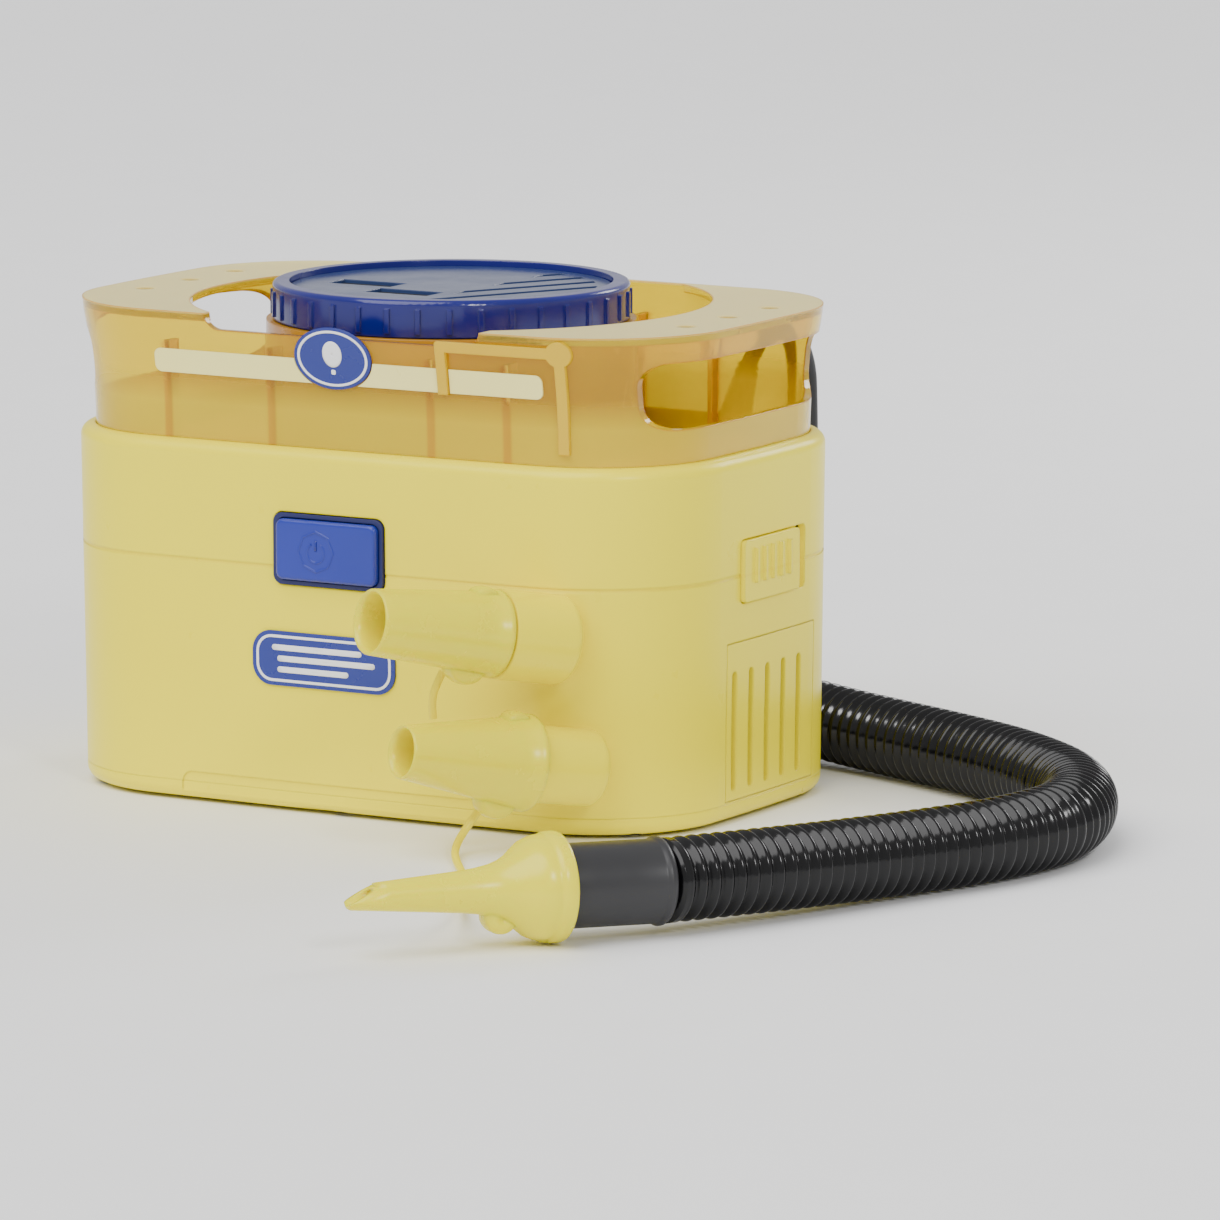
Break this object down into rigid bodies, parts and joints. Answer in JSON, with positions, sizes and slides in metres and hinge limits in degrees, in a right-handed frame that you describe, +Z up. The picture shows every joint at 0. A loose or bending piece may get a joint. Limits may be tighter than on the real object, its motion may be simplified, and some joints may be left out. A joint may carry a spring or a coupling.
{
  "type": "electric balloon inflation pump",
  "caption": "Electric party-balloon pump: boxy casing with handle collar, turret sockets for balloon stems, corrugated side hose with cone nozzle, spare nozzles on pegs and a mains lead.",
  "frame": {"origin": "middle of the underside, at table level, below the motor's axis", "axes": "+X to the right along the front, -Y out of the front, +Z up"},
  "size_m": [0.3718, 0.4422, 0.1683],
  "materials": {
    "body_yellow": "injection-moulded pale yellow, glossy",
    "collar_amber": "translucent amber yellow, glossy",
    "deck_amber": "amber yellow, glossy",
    "turret_amber": "dark amber, glossy",
    "clip_yellow": "amber yellow, glossy",
    "band_cream": "pale cream, satin",
    "badge_blue": "blue printed film with a white border",
    "gap_dark": "near-black blue, matt",
    "button_blue": "royal blue, glossy",
    "ring_blue": "deep blue, glossy",
    "plate_blue": "grey blue, glossy",
    "seal_rubber": "black, matt",
    "foot_rubber": "grey, matt",
    "screw_steel": "zinc plated",
    "filter_foam": "open-cell foam, dark grey",
    "part_black": "black moulded parts",
    "board_green": "glass-fibre board with green lacquer",
    "motor_steel": "plated steel",
    "bearing_brass": "sintered bronze",
    "magnet_dark": "ferrite, dark grey",
    "fan_plastic": "natural white, satin",
    "elbow_black": "black, satin",
    "cuff_grey": "dark grey, satin",
    "nozzle_yellow": "slightly translucent pale yellow, glossy",
    "tie_yellow": "soft yellow plastic",
    "hose_black": "corrugated black polyethylene, glossy",
    "lead_black": "black PVC",
    "tie_wrap": "white plastic tie",
    "plug_black": "black PVC",
    "pin_brass": "brass blades"
  },
  "bodies": {
    "pump": {"base_tray": "body_yellow", "rubber_feet": "foot_rubber", "base_screws": "screw_steel", "casing": "body_yellow", "vent_cover": "body_yellow", "intake_filter": "filter_foam", "front_badge": "badge_blue", "button_bezel": "gap_dark", "switch_module": "part_black", "top_deck": "deck_amber", "deck_screws": "screw_steel", "collar": "collar_amber", "collar_clip": "clip_yellow", "collar_band": "band_cream", "collar_badge": "badge_blue", "turret_base": "turret_amber", "socket_plate": "plate_blue", "socket_seals": "seal_rubber", "motor_can": "motor_steel", "motor_bearings": "bearing_brass", "motor_magnets": "magnet_dark", "fan_housing_lower": "fan_plastic", "fan_housing_upper": "fan_plastic", "outlet_gasket": "seal_rubber", "motor_cradle": "fan_plastic", "hose_duct": "fan_plastic", "circuit_board": "board_green", "board_parts": "part_black", "hose_elbow": "elbow_black", "hose_cuff": "cuff_grey", "hose": "hose_black", "lead_gland": "lead_black", "lead": "lead_black", "lead_coil": "lead_black", "lead_tie": "tie_wrap", "lead_tail": "lead_black", "plug_body": "plug_black", "plug_pins": "pin_brass"},
    "button": {"power_button": "button_blue"},
    "rotor": {"rotor_shaft": "motor_steel", "armature": "motor_steel", "impeller": "fan_plastic"},
    "ring": {"manifold_ring": "ring_blue"},
    "slider": {"side_slider": "body_yellow"},
    "large_nozzle": {"large_nozzle": "nozzle_yellow"},
    "medium_nozzle": {"medium_nozzle": "nozzle_yellow", "upper_strap": "tie_yellow"},
    "cone_nozzle": {"cone_nozzle": "nozzle_yellow", "lower_strap": "tie_yellow"}
  },
  "joints": [
    {"name": "button_press", "type": "slide", "parent": "pump", "child": "button", "axis": [0, 1, 0], "range_m": [0, 0.002], "stiffness_N_per_m": 300},
    {"name": "rotor_spin", "type": "hinge", "parent": "pump", "child": "rotor", "pos_m": [0, 0, 0.033], "axis": [0, 0, 1], "continuous": true},
    {"name": "ring_turn", "type": "hinge", "parent": "pump", "child": "ring", "pos_m": [0, 0, 0.16], "axis": [0, 0, 1], "range_deg": [0, 30]},
    {"name": "slider_move", "type": "slide", "parent": "pump", "child": "slider", "axis": [0, 1, 0], "range_m": [0, 0.006]},
    {"name": "large_pull", "type": "slide", "parent": "pump", "child": "large_nozzle", "axis": [-0.4896, -0.8562, 0.1649], "range_m": [0, 0.018], "deforming": ["upper_strap"]},
    {"name": "medium_pull", "type": "slide", "parent": "pump", "child": "medium_nozzle", "axis": [-0.4896, -0.8562, 0.1649], "range_m": [0, 0.018], "deforming": ["upper_strap", "lower_strap"]},
    {"name": "cone_pull", "type": "slide", "parent": "pump", "child": "cone_nozzle", "axis": [-0.59, -0.807, 0.026], "range_m": [0, 0.012], "deforming": ["lower_strap"]}
  ]
}
